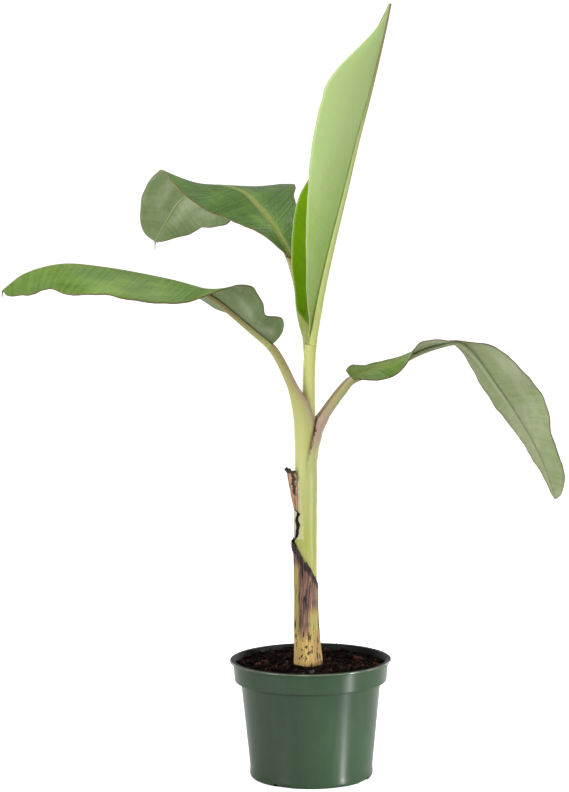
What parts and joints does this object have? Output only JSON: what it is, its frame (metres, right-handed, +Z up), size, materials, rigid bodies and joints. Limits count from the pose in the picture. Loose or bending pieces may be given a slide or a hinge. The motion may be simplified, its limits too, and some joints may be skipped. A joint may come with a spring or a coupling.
{
  "type": "potted banana plant",
  "caption": "young banana plant with an upright new leaf and arching older leaves on a sheathed stem, in a round tapered nursery pot of soil that stands on its flat underside",
  "frame": {"origin": "centre of the pot's flat underside", "axes": "+Z up along the stem, which is the plant's longest extent; -Y is the front, with the long arching leaf at -X; +X is to the right"},
  "size_m": [0.5725, 0.3374, 0.7871],
  "materials": {
    "pot_plastic": "dark green moulded plastic with a soft satin sheen and some dust",
    "soil": "near-black peat mix with reddish bark chips and grey specks",
    "stem": "pale yellow-green sheaths, smooth, with a faint waxy bloom",
    "leaf": "green leaf blade, glossy above and grey-green and waxy below",
    "dried_sheath": "dried brown fibrous sheath with dark rolled edges"
  },
  "bodies": {
    "root": {"pot": "pot_plastic", "soil": "soil", "pseudostem": "stem", "left_stalk": "stem", "right_stalk": "stem", "back_stalk": "stem", "dry_sheath_lower": "dried_sheath", "dry_sheath_upper": "dried_sheath", "left_leaf": "leaf", "back_leaf_rising": "leaf", "back_leaf_hanging": "leaf", "right_leaf_inner": "leaf", "right_leaf_outer": "leaf", "upright_leaf": "leaf"}
  },
  "joints": []
}
